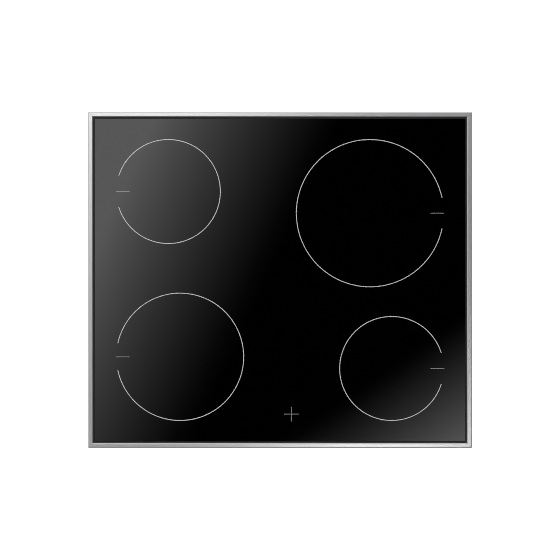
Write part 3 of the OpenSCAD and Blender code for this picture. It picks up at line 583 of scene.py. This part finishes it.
def rotor(side):
    """A fan rotor: a cup on a shaft, and swept, twisted blades with an airfoil section."""
    node = "fan_rotor_" + side
    fan_frame = "fan_frame_" + side
    low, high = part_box(node)
    middle = centre(fan_frame)
    hub = 16.5 * MM
    wall = 1.6 * MM
    shaft = 1.5 * MM
    shaft_out = 3.5 * MM
    chamfer = 0.3 * MM
    fillet = 1.4 * MM
    dish_r = 11.5 * MM
    dish_depth = 0.4 * MM
    cup_low = low.z + shaft_out
    under = high.z - wall
    dish_z = high.z - dish_depth
    rounded = [(hub - fillet * (1 - math.cos(a)), high.z - fillet * (1 - math.sin(a)))
               for a in (math.pi / 2 * i / 5 for i in range(6))]
    profile = [
        (AXIS_GAP, low.z), (shaft - chamfer, low.z), (shaft, low.z + chamfer), (shaft, under),
        (hub - wall, under), (hub - wall, cup_low), (hub - chamfer, cup_low),
        (hub, cup_low + chamfer), *rounded, (dish_r, high.z), (dish_r - chamfer, dish_z),
        (AXIS_GAP, dish_z),
    ]
    shape = Shape().lathe(profile, Matrix.Translation((middle.x, middle.y, 0)), steps=56)
    frame_wall = 1.5 * MM
    tip_gap = 0.8 * MM
    tip = size(fan_frame).x / 2 - frame_wall - tip_gap
    root = hub - 0.5 * MM
    root_chord, widest_chord = 19, 23
    root_pitch, tip_pitch = 46, 29
    root_thick, tip_thick = 0.95, 0.6
    swell = 0.6 * math.pi
    sweep = math.radians(9)
    camber = 0.09
    blade_count = 7
    stations = 9
    blade_middle = (cup_low + high.z) / 2
    for blade in range(blade_count):
        rings = []
        for i in range(stations):
            t = i / (stations - 1)
            r = mix(root, tip, t)
            chord = mix(root_chord, widest_chord, math.sin(t * swell)) * MM
            pitch = math.radians(mix(root_pitch, tip_pitch, t))
            thick = mix(root_thick, tip_thick, t) * MM
            lead = 2 * math.pi * blade / blade_count + sweep * t * t
            ring = []
            for along, above in airfoil(7):
                s = (along - 0.5) * chord
                lift = 4 * along * (1 - along) * camber * chord + above * thick
                around = s * math.cos(pitch) - lift * math.sin(pitch)
                up = s * math.sin(pitch) + lift * math.cos(pitch)
                ring.append(polar(middle, r, lead + around / r, blade_middle + up))
            rings.append(ring)
        shape.loft(rings)
    shape.piece(node + "_moulding", "rotor_plastic", node, "rotor_plastic", [node])


def airfoil(count):
    """(along, above) points round a blade's section: blunt in front and thin behind."""
    fullness = 1.35
    trailing_edge = 0.12
    upper = []
    for i in range(count + 1):
        along = 0.5 - 0.5 * math.cos(math.pi * i / count)
        upper.append((along, fullness * math.sqrt(along) * (1 - along) + trailing_edge))
    return upper + [(along, -above) for along, above in reversed(upper)]


def zone_facts(q):
    """Middle, carrier radius and number of ferrite bars of a coil."""
    carrier = "coil_carrier_" + q
    middle = centre(carrier)
    return middle, size(carrier).x / 2, 8 if q == "rear_right" else 6


def coil_springs(q):
    """Three round-wire springs with closed ends.

    Each stands midway between two of the coil's ferrite bars."""
    node = "springs_" + q
    middle, carrier_r, bars = zone_facts(q)
    low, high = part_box(node)
    wire = 0.5 * MM
    mean = 4.2 * MM
    closing = 0.35
    turns = 5
    per_turn = 22
    spring_count = 3
    from_rim = 15.5 * MM
    reach = carrier_r - from_rim
    shape = Shape()
    for i in range(spring_count):
        foot = polar(middle, reach, 2 * math.pi / bars * (i * bars // spring_count + 0.5), 0)
        path = []
        for k in range(turns * per_turn + 1):
            t = k / (turns * per_turn)
            ease = t - closing * math.sin(2 * math.pi * t) / (2 * math.pi)
            z = mix(low.z + wire, high.z - wire, ease)
            path.append(polar(foot, mean, 2 * math.pi * turns * t, z))
        shape.tube(path, wire, sides=8)
    made = shape.piece("coil_springs_" + q, "spring_steel", "housing", "spring_steel", [node])
    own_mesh(made)


def litz_winding(q):
    """A flat spiral of stranded wire."""
    node = "winding_" + q
    middle, carrier_r, _ = zone_facts(q)
    low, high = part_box(node)
    wire = (high.z - low.z) / 2
    middle_z = (low.z + high.z) / 2
    pitch = 4 * MM
    rim = 1.5 * MM
    hub = 22 * MM
    inner = hub + wire
    rounding_slack = 0.001
    turns = math.floor((carrier_r - rim - inner - wire) / pitch + rounding_slack)
    per_turn = 64
    path = []
    for k in range(turns * per_turn + 1):
        turned = k / per_turn
        path.append(polar(middle, inner + pitch * turned, 2 * math.pi * turned, middle_z))
    shape = Shape().tube(path, wire, sides=10, mapped=True)
    shape.piece("litz_winding_" + q, "copper", "coil_" + q, "copper", [node])


def mains_gland():
    """A cable gland: locknut inside, hexagon outside, and a ribbed dome nut with a rubber ring.

    Its profile is a list of rings about an axis along +Y, from the inner end outward."""
    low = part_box("cable_gland")[0]
    middle = centre("cable_gland")
    inside_length = 6 * MM
    walls = 3 * MM
    nut_height = 4 * MM
    wall_in = low.y + inside_length
    wall_out = wall_in + walls
    bore = 6.5 * MM
    thread = 8.9 * MM
    thread_depth = 0.45 * MM
    thread_pitch = 1.5 * MM
    rib_depth = 0.55 * MM
    half_side = math.pi / 6
    flat = 10.6 * MM
    corner = flat / math.cos(half_side)
    tight = corner - 0.9 * MM
    chamfer = 0.7 * MM
    steps = 72

    def ring(y, radius_at):
        points = []
        for i in range(steps):
            a = 2 * math.pi * i / steps
            r = radius_at(i, a)
            points.append((middle.x + r * math.cos(a), y, middle.z + r * math.sin(a)))
        return points

    def round_ring(y, radius):
        return ring(y, lambda i, a: radius)

    def ribbed_ring(y, radius):
        return ring(y, lambda i, a: radius - rib_depth * (i % 6 < 2))

    def hexagon_ring(y, limit):
        """A hexagon trimmed to a circle of radius limit, as a chamfered nut is."""
        def radius_at(i, a):
            from_flat = (a + half_side) % (2 * half_side) - half_side
            return min(flat / math.cos(from_flat), limit)

        return ring(y, radius_at)

    def nut(start):
        end = start + nut_height
        return [hexagon_ring(start, tight), hexagon_ring(start + chamfer, corner),
                hexagon_ring(end - chamfer, corner), hexagon_ring(end, tight)]

    def outside(kind, profile):
        """Rings at (distance out from the wall, radius), in millimetres."""
        return [kind(wall_out + along * MM, radius * MM) for along, radius in profile]

    threads = []
    for i in range(4):
        groove = thread_depth * (i % 2 == 0)
        threads.append(round_ring(low.y + 0.3 * MM + i * thread_pitch / 2, thread - groove))
    shell = Shape().loft([
        round_ring(low.y + 0.6 * MM, bore), round_ring(low.y, thread - 0.8 * MM), *threads,
        *nut(wall_in - nut_height), *nut(wall_out),
        *outside(round_ring, ((4.3, 8.9), (5.3, 8.9))),
        *outside(ribbed_ring, ((5.5, 10.7), (6.0, 11.4), (9.6, 11.4))),
        *outside(round_ring, ((10.8, 11.0), (11.8, 10.2), (12.6, 9.2), (13.0, 8.4))),
        *outside(round_ring, ((11.5, 8.2), (11.0, 6.5))),
    ], closed=True)
    shell.piece("cable_gland_shell", "gland_plastic", "housing", "gland_plastic", ["cable_gland"])
    seal = ((10.9, 6.5), (12.2, 6.5), (12.7, 6.9), (12.4, 8.0), (10.9, 8.2))
    rubber = Shape().loft(outside(round_ring, seal), closed=True)
    rubber.piece("cable_gland_rubber", "silicone", "housing", "gland_plastic")


def weld_spots():
    """Spot welds that hold each clamp bracket to the casing."""
    low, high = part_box("clamp_ears")
    bracket_thick = 2 * MM
    face_x = size("base_pan").x / 2 + bracket_thick
    bracket_y = 150 * MM
    from_middle = 7 * MM
    from_edge = 4 * MM
    profile = [(AXIS_GAP, 0.02 * MM), (1.3 * MM, 0.03 * MM), (1.9 * MM, 0.16 * MM),
               (2.3 * MM, 0.18 * MM), (2.8 * MM, 0.1 * MM), (3.1 * MM, -0.02 * MM),
               (AXIS_GAP, -0.02 * MM)]
    shape = Shape()
    for side in (-1, 1):
        turn = Matrix.Rotation(side * math.pi / 2, 4, "Y")
        for rear in (-1, 1):
            for dy in (-from_middle, from_middle):
                for z in (low.z + from_edge, high.z - from_edge):
                    spot = Vector((side * face_x, rear * bracket_y + dy, z))
                    shape.lathe(profile, Matrix.Translation(spot) @ turn, steps=20)
    shape.piece("weld_spots", "bracket_steel", "housing", "bracket_steel")


def clamp_bolt(q):
    """A clamp's screw: a cross recess in its head, two collars that hold the arm, a thread."""
    node = "clamp_screw_" + q
    low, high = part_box(node)
    middle = centre(node)
    head_r = (high.x - low.x) / 2
    head_h = 2.6 * MM
    shaft = 2.5 * MM
    collar_r = 3.8 * MM
    collar_t = 0.6 * MM
    play = 0.1 * MM
    arm_thick = 2 * MM
    arm_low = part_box("clamp_arm_" + q)[0].z - play
    arm_high = arm_low + arm_thick + 2 * play
    recess_length = 3 * MM
    recess_width = 0.55 * MM
    recess_depth = 1.4 * MM
    pitch = 0.8 * MM
    thread_depth = 0.42 * MM
    flat_crest = 0.25
    point = 0.6 * MM
    point_slope = 0.8
    slices_per_turn = 6
    steps = 36

    def ring(z, radius_at):
        angles = [2 * math.pi * i / steps for i in range(steps)]
        return [polar(middle, radius_at(a), a, z) for a in angles]

    def round_ring(z, radius):
        return ring(z, lambda a: radius)

    def cross(a):
        along = max(abs(math.cos(a)), 1e-6)
        across = max(abs(math.sin(a)), 1e-6)
        return max(min(recess_length / along, recess_width / across),
                   min(recess_width / along, recess_length / across))

    rings = [ring(low.z + recess_depth, cross), ring(low.z, cross)]
    for z, radius in (
        (low.z, head_r - 0.5 * MM), (low.z + 0.12 * MM, head_r - 0.2 * MM),
        (low.z + 0.4 * MM, head_r), (low.z + head_h - 0.3 * MM, head_r),
        (low.z + head_h, head_r - 0.3 * MM), (low.z + head_h, shaft),
    ):
        rings.append(round_ring(z, radius))
    for collar_low in (arm_low - collar_t, arm_high):
        collar_high = collar_low + collar_t
        for z, radius in ((collar_low, shaft), (collar_low, collar_r),
                          (collar_high, collar_r), (collar_high, shaft)):
            rings.append(round_ring(z, radius))
    start = arm_high + collar_t + 0.4 * MM
    count = round((high.z - start) / pitch * slices_per_turn)
    for k in range(count + 1):
        z = mix(start, high.z, k / count)
        fade = min(1, (z - start) / pitch)
        limit = shaft - max(0, z - high.z + point) * point_slope

        def thread(a):
            phase = (z / pitch - a / (2 * math.pi)) % 1
            groove = max(0, (1 + flat_crest) * (1 - abs(2 * phase - 1)) - flat_crest)
            return min(limit, shaft - fade * thread_depth * groove)

        rings.append(ring(z, thread))
    shape = Shape().loft(rings)
    shape.piece("clamp_bolt_" + q, "clamp_zinc", node, "clamp_zinc", [node], sharp=50)


def mains_choke():
    """A ring core in two wire windings, on a moulded base."""
    low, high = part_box("filter_choke")
    middle = centre("filter_choke")
    ring_r = 16 * MM
    core_r = 6.6 * MM
    core_z = high.z - 8 * MM
    core_steps = 20
    place = Matrix.Translation((middle.x, middle.y, 0))
    core = [(ring_r + core_r * math.cos(a), core_z + core_r * math.sin(a))
            for a in (2 * math.pi * i / core_steps for i in range(core_steps))]
    shape = Shape().lathe(core, place, closed=True)
    shape.piece("choke_core", "ferrite", "housing", "ferrite", ["filter_choke"])
    wire = 0.62 * MM
    wound_r = core_r + wire
    half_sweep = 68
    turns = 15
    per_turn = 18
    shape = Shape()
    for side in (0, math.pi):
        path = []
        for k in range(turns * per_turn + 1):
            t = k / (turns * per_turn)
            a = 2 * math.pi * turns * t
            heading = side + math.radians(mix(-half_sweep, half_sweep, t))
            radius = ring_r + wound_r * math.cos(a)
            path.append(polar(middle, radius, heading, core_z + wound_r * math.sin(a)))
        shape.tube(path, wire, sides=7)
    shape.piece("choke_wire", "enamelled_wire", "housing", "copper")
    base = [(r * MM, low.z + z * MM) for r, z in (
        (25.4, 0), (26, 0.6), (26, 4.4), (25.4, 5), (24.4, 5), (24, 2.4), (8, 2.4), (7.4, 5),
        (5, 5), (4.6, 0))]
    shape = Shape().lathe(base, place, closed=True)
    shape.piece("choke_base", "black_plastic", "housing", "black_plastic")


def board_parts(side):
    """Relays, smoothing capacitors, a controller chip and plug headers on a power board.

    Places are millimetres inward from the board's outer edge, and from its front edge. Sizes are
    millimetres too: half width, half depth, and the heights above the board."""
    sign = -1 if side == "left" else 1
    low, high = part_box("power_board_" + side)
    outer_x = max(abs(low.x), abs(high.x))

    def spot(inward, forward):
        return Vector((sign * (outer_x - inward * MM), low.y + forward * MM, high.z))

    def box(shape, at, half_x, half_y, bottom, top, edge):
        shape.block(at + Vector((-half_x, -half_y, bottom)) * MM,
                    at + Vector((half_x, half_y, top)) * MM, edge * MM)

    relay_count = 3
    relay_spacing = 27
    blacks = Shape()
    for i in range(relay_count):
        box(blacks, spot(62 + relay_spacing * i, 66), 10, 7.5, 0, 15, 0.8)
    chip = spot(95, 32)
    box(blacks, chip, 7, 7, 0.2, 1.8, 0.3)
    blacks.piece("board_relays_" + side, "package_black", "housing", "package_black")

    legs = Shape()
    legs_per_side = 16
    leg_pitch = 0.8
    leg_r = 0.15 * MM
    for i in range(legs_per_side):
        off = (i - (legs_per_side - 1) / 2) * leg_pitch
        for turn in range(4):
            place = Matrix.Translation(chip) @ Matrix.Rotation(turn * math.pi / 2, 4, "Z")
            path = [place @ (Vector((out, off, up)) * MM)
                    for out, up in ((6.8, 0.9), (7.6, 0.9), (8.0, 0.2), (8.9, 0.15))]
            legs.tube(path, leg_r, sides=5)
    legs.piece("chip_legs_" + side, "screw_steel", "housing", "screw_steel")

    cans = Shape()
    can_spacing = 24
    can_top = 23.7 * MM
    can = [(r * MM, z * MM) for r, z in (
        (8.6, 0), (9, 0.5), (9, 2.2), (8.5, 2.7), (8.5, 3.1), (9, 3.6), (9, 23.2), (8.4, 24),
        (7.6, 24), (7.4, 23.7))]
    can = [(AXIS_GAP, 0), *can, (AXIS_GAP, can_top)]
    for i in range(2):
        cans.lathe(can, Matrix.Translation(spot(24, 34 + can_spacing * i)), steps=36)
    cans.piece("smoothing_capacitors_" + side, "capacitor_film", "housing", "capacitor_film")

    headers = Shape()
    header_spacing = 26
    header_top = 8
    pin_count = 6
    pin_pitch = 2.6
    for i in range(3):
        header = spot(58 + header_spacing * i, 9)
        box(headers, header, 9, 3, 0, header_top, 0.5)
        for k in range(pin_count):
            pin = header + Vector(((k - (pin_count - 1) / 2) * pin_pitch, 0, 0)) * MM
            box(headers, pin, 0.8, 1, header_top, header_top + 1.4, 0.2)
    headers.piece("plug_headers_" + side, "light_box_white", "housing", "light_box_white")


silicone_bead()
foam_gasket()
mains_gland()
weld_spots()
mains_choke()
for side in SIDES:
    rotor(side)
    board_parts(side)
for q in QUADRANTS:
    coil_springs(q)
    litz_winding(q)
    clamp_bolt(q)

for node in ("trim_front", "trim_rear", "trim_left", "trim_right"):
    soften(node, 0.15 * MM)
for node in ("base_pan", "clamp_ears", "side_screws", "terminal_lid", "coil_plate"):
    soften(node, 0.2 * MM)


# ---------------------------------------------------------------- stage

TRIM_TOP = 0.057
CAMERA_RISE = 1.983
CARD_RISE = 2.35
LAMP_Z = CARD_RISE + 0.14
WHITE = (1, 1, 1, 1)


def bare_tree(owner):
    """Empties the node tree of a material or a world."""
    owner.use_nodes = True
    owner.node_tree.nodes.clear()
    return Nodes(owner.node_tree)


def plane(name, half_x, half_y, z, material):
    """A level rectangle on the stage, about the origin."""
    mesh = bpy.data.meshes.new(name)
    signs = ((-1, -1), (1, -1), (1, 1), (-1, 1))
    corners = [(sx * half_x, sy * half_y, 0) for sx, sy in signs]
    mesh.from_pydata(corners, [], [(0, 1, 2, 3)])
    mesh.materials.append(material)
    made = bpy.data.objects.new(name, mesh)
    made.location.z = z
    bpy.context.scene.collection.objects.link(made)
    return made


def overhead_card():
    """A large card above, dark through the middle, whose two bright corners the glass mirrors.

    Each glow is a ramp on the glass: it gains slope per metre along a heading in degrees, less
    start, up to top. These are display levels, which the standard curve turns into light."""
    glows = ((155.1, 1.34, 0.0235, 0.341), (-54.8, 2.09, 0.419, 0.39))
    half_x, half_y = 0.63, 0.552
    curve_offset, curve_power, curve_at_zero = 0.055, 2.4, 0.00083
    glass_mirror = 0.044
    spread = 1 + CARD_RISE / CAMERA_RISE
    material = bpy.data.materials.new("overhead_card")
    n = bare_tree(material)
    where = n.add("ShaderNodeTexCoord").outputs["Object"]
    parts = n.add("ShaderNodeSeparateXYZ", {0: where})
    levels = []
    for heading, slope, start, top in glows:
        a = math.radians(heading)
        along_x = n.maths("MULTIPLY", parts.outputs[0], math.cos(a) * slope / spread)
        along_y = n.maths("MULTIPLY", parts.outputs[1], math.sin(a) * slope / spread)
        level = n.maths("SUBTRACT", n.maths("ADD", along_x, along_y), start)
        levels.append(n.maths("MAXIMUM", n.maths("MINIMUM", level, top), 0.0))
    raised = n.maths("ADD", n.maths("ADD", *levels), curve_offset)
    scaled = n.maths("MULTIPLY", raised, 1 / (1 + curve_offset))
    light = n.maths("SUBTRACT", n.maths("POWER", scaled, curve_power), curve_at_zero)
    strength = n.maths("DIVIDE", n.maths("MAXIMUM", light, 0.0), glass_mirror)
    glow = n.add("ShaderNodeEmission", {"Color": WHITE, "Strength": strength})
    n.add("ShaderNodeOutputMaterial", {0: glow.outputs[0]})
    card = plane("overhead_card", half_x, half_y, TRIM_TOP + CARD_RISE, material)
    card.visible_camera = False


def soft_light(name, place, radius, strength):
    """A round light that faces the object and fades out towards its rim."""
    material = bpy.data.materials.new(name)
    n = bare_tree(material)
    where = n.add("ShaderNodeTexCoord").outputs["Object"]
    across = n.add("ShaderNodeVectorMath", {0: where}, operation="LENGTH").outputs["Value"]
    inputs = {"Value": across, "From Min": radius, "From Max": 0.0, "To Min": 0.0, "To Max": 1.0}
    fade = n.add("ShaderNodeMapRange", inputs, interpolation_type="SMOOTHSTEP").outputs["Result"]
    glow = n.add("ShaderNodeEmission", {"Color": WHITE, "Strength": strength})
    clear = n.add("ShaderNodeBsdfTransparent")
    seen = n.add("ShaderNodeMixShader", {0: fade, 1: clear.outputs[0], 2: glow.outputs[0]})
    n.add("ShaderNodeOutputMaterial", {0: seen.outputs[0]})
    light = plane(name, radius, radius, 0, material)
    light.location = place
    light.rotation_euler = Vector(place).to_track_quat("Z", "Y").to_euler()
    light.visible_camera = False


def floor():
    """A plain white floor that glows too; from below it isn't there."""
    half_size = 6
    under_feet = 0.2 * MM
    material = bpy.data.materials.new("floor")
    n = bare_tree(material)
    matt = n.add("ShaderNodeBsdfDiffuse", {"Color": (0.75, 0.75, 0.75, 1)})
    glow = n.add("ShaderNodeEmission", {"Color": WHITE, "Strength": 0.85})
    both = n.add("ShaderNodeAddShader", {0: matt.outputs[0], 1: glow.outputs[0]})
    clear = n.add("ShaderNodeBsdfTransparent")
    below = n.add("ShaderNodeNewGeometry").outputs["Backfacing"]
    seen = n.add("ShaderNodeMixShader", {0: below, 1: both.outputs[0], 2: clear.outputs[0]})
    n.add("ShaderNodeOutputMaterial", {0: seen.outputs[0]})
    plane("floor", half_size, half_size, -under_feet, material)


def backdrop():
    """A white dome that only the camera sees: the picture is white beyond the floor too."""
    dome_radius = 15
    material = bpy.data.materials.new("backdrop")
    n = bare_tree(material)
    glow = n.add("ShaderNodeEmission", {"Color": WHITE, "Strength": 1.0})
    n.add("ShaderNodeOutputMaterial", {0: glow.outputs[0]})
    mesh = bpy.data.meshes.new("backdrop")
    shell = bmesh.new()
    bmesh.ops.create_uvsphere(shell, u_segments=48, v_segments=24, radius=dome_radius)
    shell.to_mesh(mesh)
    shell.free()
    mesh.materials.append(material)
    made = bpy.data.objects.new("backdrop", mesh)
    bpy.context.scene.collection.objects.link(made)
    made.visible_diffuse = False
    made.visible_glossy = False
    made.visible_transmission = False
    made.visible_volume_scatter = False
    made.visible_shadow = False


def world():
    """Soft white all round, stronger from the rear and the left than from the other two sides.

    Its strength dips towards the rear left corner and the front right one, so that the glass
    stays dark when it mirrors either."""
    made = bpy.data.worlds.new("studio")
    n = bare_tree(made)
    bpy.context.scene.world = made
    towards = n.add("ShaderNodeTexCoord").outputs["Generated"]
    bright_side = (-0.6, 0.8, 0)
    overall = 0.36
    swing = 1.1
    dip = 1.2
    darkest = 0.17
    brightest = 0.95
    inputs = {0: towards, 1: bright_side}
    facing = n.add("ShaderNodeVectorMath", inputs, operation="DOT_PRODUCT").outputs["Value"]
    bent = n.maths("MULTIPLY", facing, n.maths("ABSOLUTE", facing))
    level = n.maths("ADD", n.maths("MULTIPLY", bent, swing), overall)
    parts = n.add("ShaderNodeSeparateXYZ", {0: towards})
    corner = n.maths("MINIMUM", n.maths("MULTIPLY", parts.outputs[0], parts.outputs[1]), 0.0)
    level = n.maths("ADD", n.maths("MINIMUM", level, brightest), n.maths("MULTIPLY", corner, dip))
    level = n.maths("MAXIMUM", level, darkest)
    sky = n.add("ShaderNodeBackground", {"Color": WHITE, "Strength": level})
    n.add("ShaderNodeOutputWorld", {0: sky.outputs[0]})


def camera():
    """Straight above, with the rear at the top of the picture. No pixel blurs into the next."""
    scene = bpy.context.scene
    data = bpy.data.cameras.new("camera")
    data.lens = 85
    data.sensor_width = 36
    data.clip_end = 50
    made = bpy.data.objects.new("camera", data)
    made.location = (0, 0, TRIM_TOP + CAMERA_RISE)
    scene.collection.objects.link(made)
    scene.camera = made
    scene.view_settings.view_transform = "Standard"
    scene.cycles.filter_width = 1.0


overhead_card()
for name, place, radius, strength in (
    ("rear_light", (-0.3, 1.05, LAMP_Z), 0.38, 11.5),
    ("front_light", (0.32, -0.6, LAMP_Z), 0.38, 14.0),
    ("key_light", (-1.23, 1.36, 2.18), 0.85, 7.2),
    ("fill_light", (1.5, -1.5, 1.5), 0.8, 2.5),
):
    soft_light(name, place, radius, strength)
floor()
backdrop()
world()
camera()
